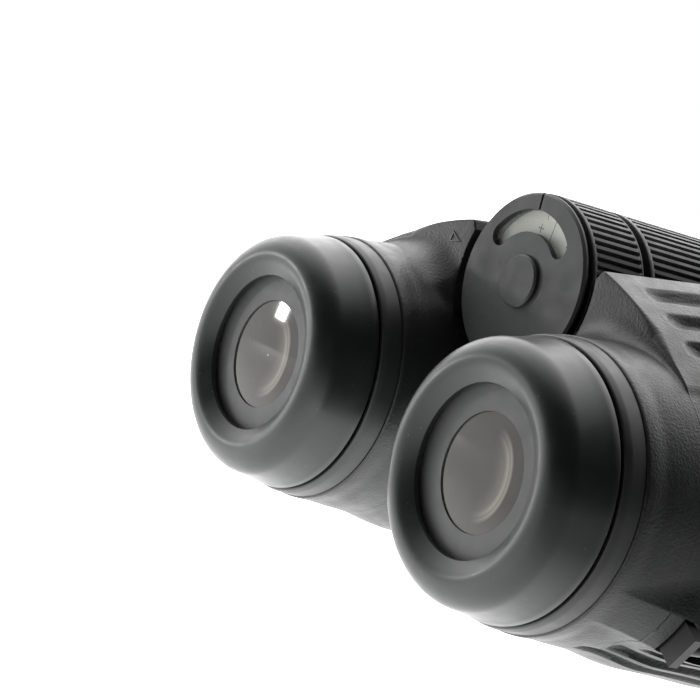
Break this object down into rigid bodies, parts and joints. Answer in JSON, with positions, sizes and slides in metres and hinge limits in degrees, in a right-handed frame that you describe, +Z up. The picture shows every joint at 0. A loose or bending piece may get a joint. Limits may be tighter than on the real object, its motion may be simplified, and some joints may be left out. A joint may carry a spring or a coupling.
{
  "type": "binoculars",
  "caption": "Rubber-armoured roof-prism binoculars with folding barrels, push-pull eyecups, a ribbed central focusing wheel and a diopter ring with a window over its scale.",
  "frame": {"origin": "centre of the bounding box in X and Y, on the surface the barrels lie on", "axes": "+X to the user's right, +Y from the eyepieces to the objectives, +Z up"},
  "size_m": [0.1198, 0.1458, 0.0688],
  "materials": {
    "armour_rubber": "matt, fine grain",
    "smooth_rubber": "satin",
    "eyecup_rubber": "satin",
    "wheel_rubber": "satin, ribbed",
    "seal_rubber": "satin",
    "cap_plastic": "finely textured",
    "black_plastic": "matt",
    "white_plastic": "plain",
    "clear_plastic": "clear",
    "scale_plate": "pale, with fine marks",
    "light_alloy": "cast",
    "black_anodised": "blackened, fine threads",
    "steel": "bright",
    "brass": "turned",
    "glass": "polished",
    "coated_glass": "polished and coated"
  },
  "bodies": {
    "left_half": {"left_barrel_housing": "light_alloy", "left_barrel_armour": "armour_rubber", "left_eyepiece_collar": "smooth_rubber", "left_eyepiece_tube": "black_anodised", "left_field_stop": "black_anodised", "left_eye_lens": "coated_glass", "left_field_lens": "glass", "left_prism_cage": "black_anodised", "left_half_prism": "glass", "left_roof_prism": "glass", "left_objective_cell": "black_anodised", "left_objective_rear_lens": "glass", "left_objective_front_lens": "coated_glass", "left_objective_ring": "black_anodised", "left_objective_seal": "seal_rubber", "left_strap_lug": "steel", "hinge_axle": "steel", "hinge_bushes": "brass", "hinge_washers": "white_plastic", "bridge_cover": "armour_rubber", "hinge_nut": "steel", "front_hinge_cap": "cap_plastic", "rear_cap": "cap_plastic", "window_pane": "clear_plastic", "cap_screw": "steel", "cap_plug": "cap_plastic"},
    "right_half": {"right_barrel_housing": "light_alloy", "right_barrel_armour": "armour_rubber", "right_eyepiece_collar": "smooth_rubber", "right_eyepiece_tube": "black_anodised", "right_field_stop": "black_anodised", "right_eye_lens": "coated_glass", "right_field_lens": "glass", "right_prism_cage": "black_anodised", "right_half_prism": "glass", "right_roof_prism": "glass", "right_objective_cell": "black_anodised", "right_objective_rear_lens": "glass", "right_objective_front_lens": "coated_glass", "right_objective_ring": "black_anodised", "right_objective_seal": "seal_rubber", "right_strap_lug": "steel"},
    "left_eyecup_unit": {"left_eyecup": "eyecup_rubber", "left_eyecup_sleeve": "black_plastic"},
    "right_eyecup_unit": {"right_eyecup": "eyecup_rubber", "right_eyecup_sleeve": "black_plastic"},
    "focus_wheel": {"focus_wheel_core": "black_plastic", "focus_wheel_grip": "wheel_rubber", "focus_spindle": "brass"},
    "focus_carriage_unit": {"focus_carriage": "brass", "left_focus_arm": "steel", "left_focus_cell": "black_anodised", "left_focus_lens": "glass"},
    "right_focus_arm_unit": {"right_focus_arm": "steel"},
    "right_focus_cell_unit": {"right_focus_cell": "black_anodised", "right_focus_lens": "glass"},
    "diopter_clutch": {"clutch_sleeve": "steel"},
    "diopter_ring": {"diopter_core": "black_plastic", "diopter_grip": "wheel_rubber", "diopter_scale": "scale_plate"}
  },
  "joints": [
    {"name": "interpupillary", "type": "hinge", "parent": "left_half", "child": "right_half", "pos_m": [0, 0, 0.0536], "axis": [0, -1, 0], "range_deg": [-13.5, 29.5]},
    {"name": "left_eyecup_slide", "type": "slide", "parent": "left_half", "child": "left_eyecup_unit", "axis": [0, -1, 0], "range_m": [0, 0.008]},
    {"name": "right_eyecup_slide", "type": "slide", "parent": "right_half", "child": "right_eyecup_unit", "axis": [0, -1, 0], "range_m": [0, 0.008]},
    {"name": "focus_turn", "type": "hinge", "parent": "left_half", "child": "focus_wheel", "pos_m": [0, 0, 0.0536], "axis": [0, 1, 0], "range_deg": [-200, 200]},
    {"name": "carriage_slide", "type": "slide", "parent": "left_half", "child": "focus_carriage_unit", "axis": [0, 1, 0], "range_m": [-0.00349, 0.00349]},
    {"name": "right_arm_slide", "type": "slide", "parent": "right_half", "child": "right_focus_arm_unit", "axis": [0, 1, 0], "range_m": [-0.00349, 0.00349]},
    {"name": "right_lens_shift", "type": "slide", "parent": "right_focus_arm_unit", "child": "right_focus_cell_unit", "axis": [0, 1, 0], "range_m": [-0.00084, 0.00084]},
    {"name": "diopter_pull", "type": "slide", "parent": "left_half", "child": "diopter_clutch", "axis": [0, -1, 0], "range_m": [0, 0.0008]},
    {"name": "diopter_turn", "type": "hinge", "parent": "diopter_clutch", "child": "diopter_ring", "pos_m": [0, 0, 0.0536], "axis": [0, 1, 0], "range_deg": [-60, 60]}
  ],
  "couplings": [
    {"joint": "carriage_slide", "follows": "focus_turn", "m_per_rad": 0.001},
    {"joint": "right_arm_slide", "follows": "focus_turn", "m_per_rad": 0.001},
    {"joint": "right_lens_shift", "follows": "diopter_turn", "m_per_rad": 0.0008}
  ]
}
